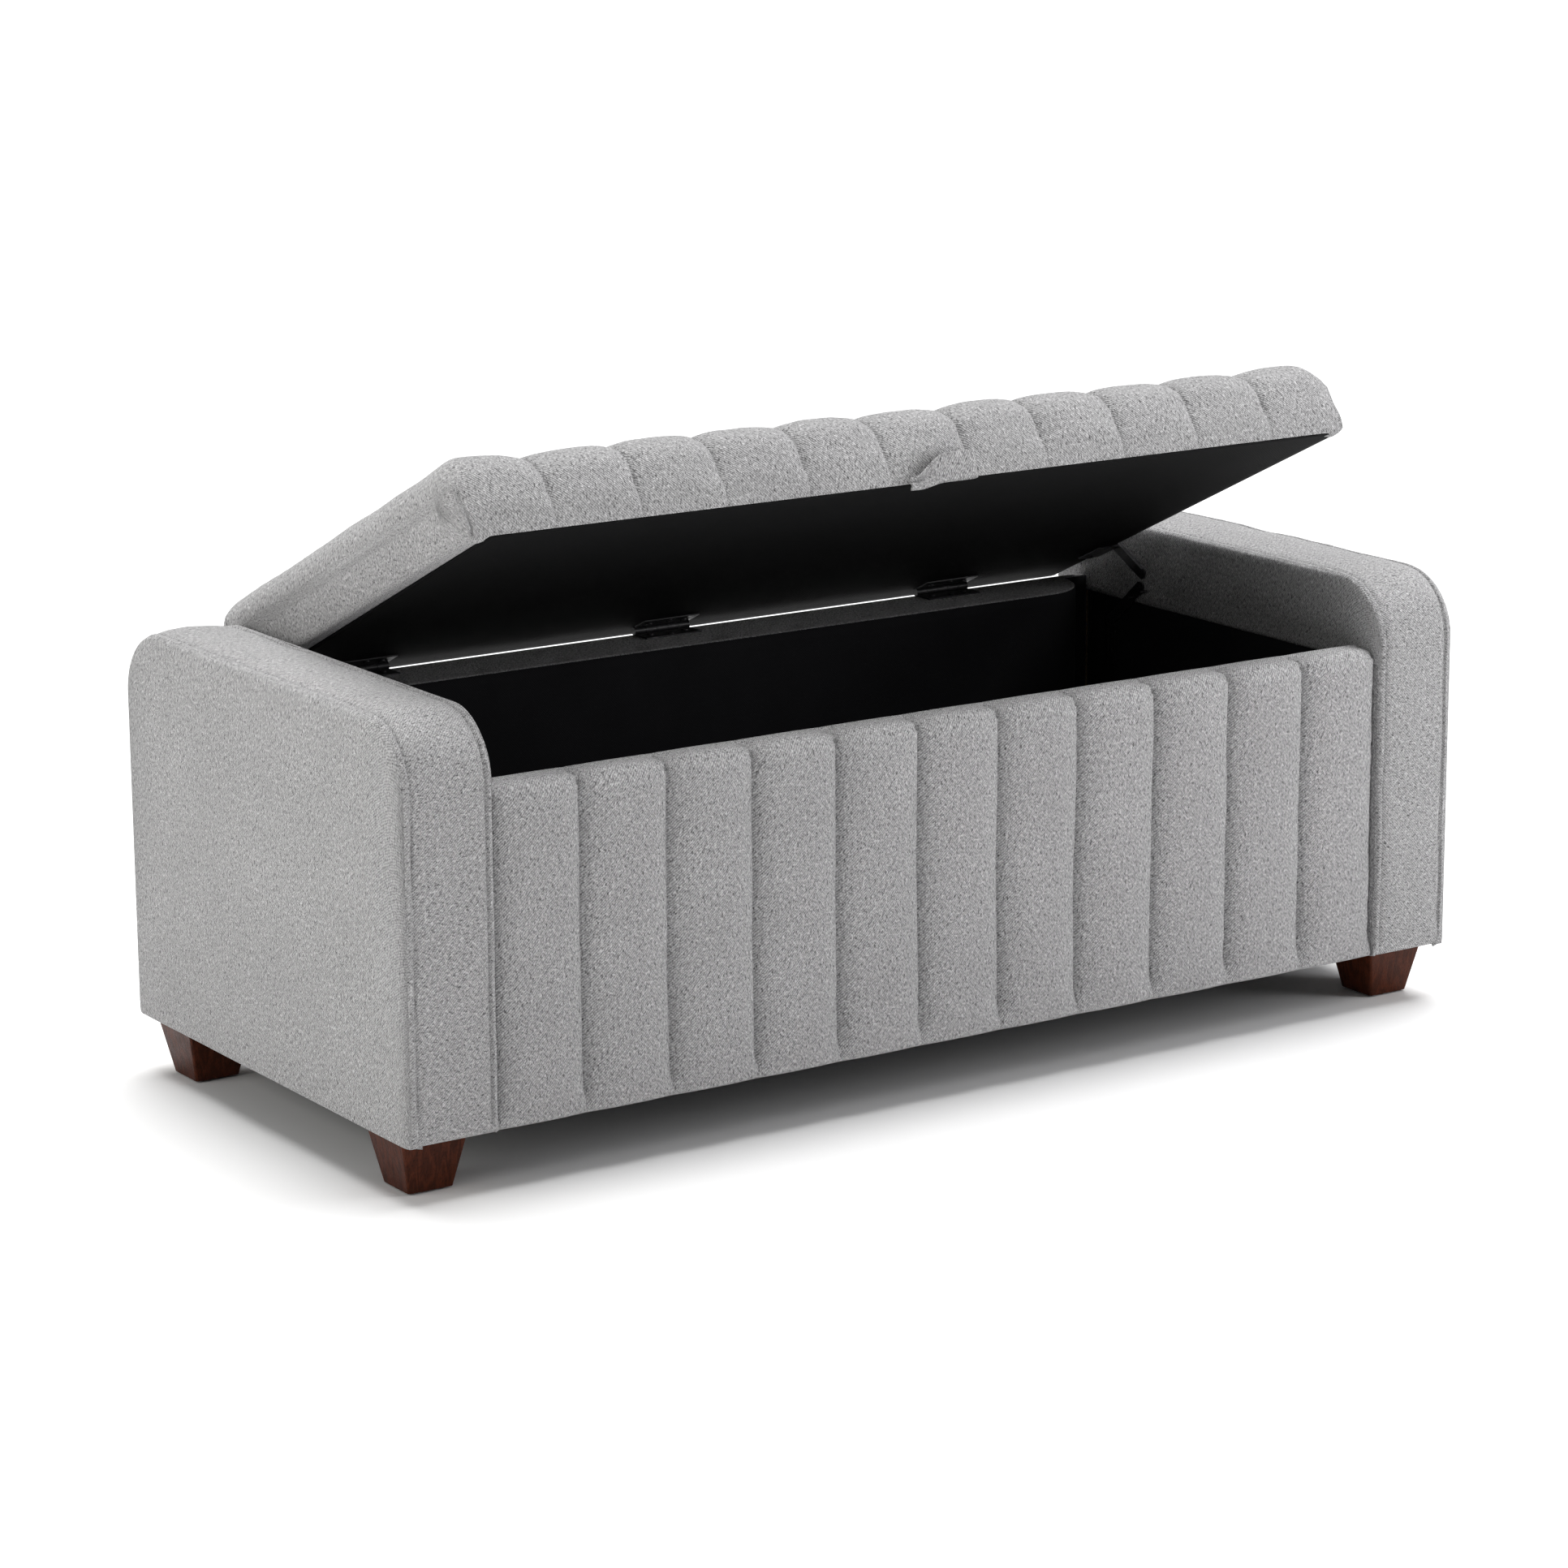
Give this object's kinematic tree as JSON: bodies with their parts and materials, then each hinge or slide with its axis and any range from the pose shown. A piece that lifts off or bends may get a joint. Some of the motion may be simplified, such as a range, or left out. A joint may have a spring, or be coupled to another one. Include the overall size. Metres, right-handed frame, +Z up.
{
  "type": "storage bench",
  "caption": "Upholstered storage bench with two boxy arms, a channel-tufted front and a channel-tufted hinged lid held by folding stays, on tapered wooden feet.",
  "frame": {"origin": "on the floor, under the middle of the carcass between the four feet", "axes": "+X along the bench to the right seen from the front, -Y to the front where the lid opens, +Z up"},
  "size_m": [1.3, 0.5869, 0.6944],
  "materials": {
    "tweed": "matte",
    "foam": "matte",
    "black_cloth": "matte",
    "stained_wood": "satin",
    "nylon": "satin",
    "black_steel": "satin",
    "zinc_steel": "satin",
    "frame_wood": "matte"
  },
  "bodies": {
    "carcass": {"back_board": "frame_wood", "back_cover": "tweed", "back_studs": "frame_wood", "bottom_dust_cover": "black_cloth", "carcass_bolts": "zinc_steel", "floor_board": "frame_wood", "floor_stretchers": "frame_wood", "foot_back_left": "stained_wood", "foot_back_right": "stained_wood", "foot_front_left": "stained_wood", "foot_front_right": "stained_wood", "foot_glides": "nylon", "foot_hanger_bolts": "zinc_steel", "front_board": "frame_wood", "front_pad": "tweed", "hinge_base_leaf_centre": "black_steel", "hinge_base_leaf_left": "black_steel", "hinge_base_leaf_right": "black_steel", "hinge_base_screws": "black_steel", "hinge_pins": "black_steel", "hinge_rail": "frame_wood", "left_arm_band_cover": "tweed", "left_arm_edge_frame": "frame_wood", "left_arm_inner_cover": "tweed", "left_arm_inner_panel": "frame_wood", "left_arm_outer_cover": "tweed", "left_arm_outer_panel": "frame_wood", "lining_back": "black_cloth", "lining_floor": "black_cloth", "lining_front": "black_cloth", "lining_left": "black_cloth", "lining_right": "black_cloth", "right_arm_band_cover": "tweed", "right_arm_edge_frame": "frame_wood", "right_arm_inner_cover": "tweed", "right_arm_inner_panel": "frame_wood", "right_arm_outer_cover": "tweed", "right_arm_outer_panel": "frame_wood", "stay_base_plates": "black_steel", "stay_base_rivets": "black_steel", "stay_base_screws": "black_steel"},
    "lid": {"lid_cover": "tweed", "lid_foam": "foam", "lid_board": "frame_wood", "lid_dust_cover": "black_cloth", "pull_tab": "tweed", "hinge_lid_leaf_left": "black_steel", "hinge_lid_leaf_centre": "black_steel", "hinge_lid_leaf_right": "black_steel", "hinge_lid_screws": "black_steel", "stay_lid_bracket_left": "black_steel", "stay_lid_bracket_right": "black_steel", "stay_lid_rivets": "black_steel", "stay_lid_screws": "black_steel"},
    "lower_arm_left": {"stay_lower_arm_left": "black_steel", "stay_elbow_rivet_left": "black_steel"},
    "upper_arm_left": {"stay_upper_arm_left": "black_steel"},
    "lower_arm_right": {"stay_lower_arm_right": "black_steel", "stay_elbow_rivet_right": "black_steel"},
    "upper_arm_right": {"stay_upper_arm_right": "black_steel"}
  },
  "joints": [
    {"name": "lid_hinge", "type": "hinge", "parent": "carcass", "child": "lid", "pos_m": [0, 0.24, 0.4043], "axis": [-1, 0, 0], "range_deg": [-25, 40]},
    {"name": "stay_lower_left", "type": "hinge", "parent": "carcass", "child": "lower_arm_left", "pos_m": [-0.543, 0.182, 0.3543], "axis": [-1, 0, 0], "range_deg": [-25, 40]},
    {"name": "stay_upper_left", "type": "hinge", "parent": "lid", "child": "upper_arm_left", "pos_m": [-0.543, 0.18501, 0.45201], "axis": [-1, 0, 0], "range_deg": [-40, 25]},
    {"name": "stay_lower_right", "type": "hinge", "parent": "carcass", "child": "lower_arm_right", "pos_m": [0.543, 0.182, 0.3543], "axis": [-1, 0, 0], "range_deg": [-25, 40]},
    {"name": "stay_upper_right", "type": "hinge", "parent": "lid", "child": "upper_arm_right", "pos_m": [0.543, 0.18501, 0.45201], "axis": [-1, 0, 0], "range_deg": [-40, 25]}
  ],
  "couplings": [
    {"joint": "stay_lower_left", "follows": "lid_hinge", "ratio": 1},
    {"joint": "stay_upper_left", "follows": "lid_hinge", "ratio": -1},
    {"joint": "stay_lower_right", "follows": "lid_hinge", "ratio": 1},
    {"joint": "stay_upper_right", "follows": "lid_hinge", "ratio": -1}
  ]
}
